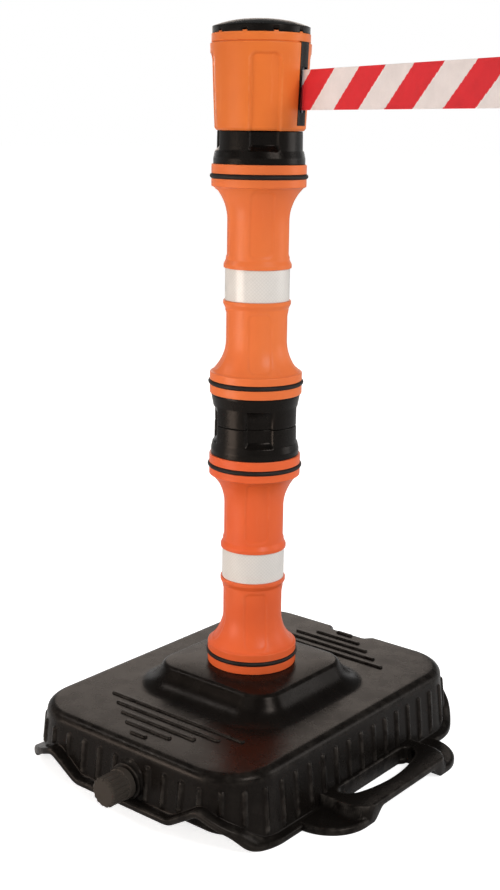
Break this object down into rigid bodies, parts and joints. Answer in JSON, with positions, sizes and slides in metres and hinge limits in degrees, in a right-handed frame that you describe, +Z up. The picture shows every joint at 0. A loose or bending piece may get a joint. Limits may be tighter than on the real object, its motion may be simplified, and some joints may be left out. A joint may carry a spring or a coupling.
{
  "type": "belt barrier post",
  "caption": "Free-standing post with a ballast base, twist-lock sections, reflective bands and a reel head whose striped belt pulls out to mark off an area.",
  "frame": {"origin": "where the post's axis meets the floor", "axes": "+Z up the post, +X towards the carry handle and the belt slot, -Y towards the filler cap"},
  "size_m": [0.7232, 0.5967, 1.019],
  "materials": {
    "base_black": "moulded satin black",
    "collar_black": "moulded satin black",
    "post_orange": "moulded satin orange",
    "head_orange": "moulded satin orange",
    "band_white": "retroreflective sheeting",
    "rubber_black": "matt",
    "steel": "bright",
    "brass": "turned",
    "reel_nylon": "natural",
    "belt_web": "woven, red and white diagonal stripes",
    "water": "clear"
  },
  "bodies": {
    "base": {"base_shell": "base_black", "base_spigot": "collar_black", "spigot_screws": "steel", "ballast_water": "water"},
    "filler_cap": {"filler_cap": "base_black", "cap_gasket": "rubber_black"},
    "lower_post": {"lower_post_tube": "post_orange", "lower_band": "band_white", "lower_top_ring": "rubber_black", "lower_bottom_ring": "rubber_black", "lower_top_collar": "collar_black", "lower_bottom_collar": "collar_black"},
    "upper_post": {"upper_post_tube": "post_orange", "upper_band": "band_white", "upper_top_ring": "rubber_black", "upper_bottom_ring": "rubber_black", "upper_top_collar": "collar_black", "upper_bottom_collar": "collar_black"},
    "head": {"head_housing": "head_orange", "slot_bezel": "collar_black", "guide_pins": "steel", "top_cap": "collar_black", "head_socket": "collar_black", "head_screws": "steel", "reel_axle": "steel", "belt_lead": "belt_web"},
    "reel": {"reel_drum": "reel_nylon", "reel_bush": "brass", "power_spring": "steel", "spring_cover": "reel_nylon", "belt_roll": "belt_web"},
    "belt": {"belt_strip": "belt_web"},
    "belt_end": {"belt_clip": "collar_black", "clip_pin": "steel"}
  },
  "joints": [
    {"name": "lower_post_twist", "type": "hinge", "parent": "base", "child": "lower_post", "pos_m": [0, 0, 0.09], "axis": [0, 0, 1], "range_deg": [0, 45]},
    {"name": "upper_post_twist", "type": "hinge", "parent": "lower_post", "child": "upper_post", "pos_m": [0, 0, 0.484], "axis": [0, 0, 1], "range_deg": [0, 45]},
    {"name": "head_twist", "type": "hinge", "parent": "upper_post", "child": "head", "pos_m": [0, 0, 0.878], "axis": [0, 0, 1], "range_deg": [0, 45]},
    {"name": "reel_spin", "type": "hinge", "parent": "head", "child": "reel", "pos_m": [0, 0, 0.93], "axis": [0, 0, 1], "range_deg": [0, 765]},
    {"name": "belt_swing", "type": "hinge", "parent": "head", "child": "belt", "pos_m": [0.06646, 0.00432, 0.9295], "axis": [0, 0, 1], "range_deg": [-35, 95]},
    {"name": "belt_pull", "type": "slide", "parent": "belt", "child": "belt_end", "axis": [0.9078, -0.4195, 0], "range_m": [-0.425, 0], "deforming": ["belt_strip"]},
    {"name": "filler_cap_turn", "type": "hinge", "parent": "base", "child": "filler_cap", "pos_m": [0.012, -0.29, 0.049], "axis": [0, -1, 0], "range_deg": [0, 720]}
  ],
  "couplings": [
    {"joint": "belt_pull", "follows": "reel_spin", "m_per_rad": -0.0318}
  ]
}
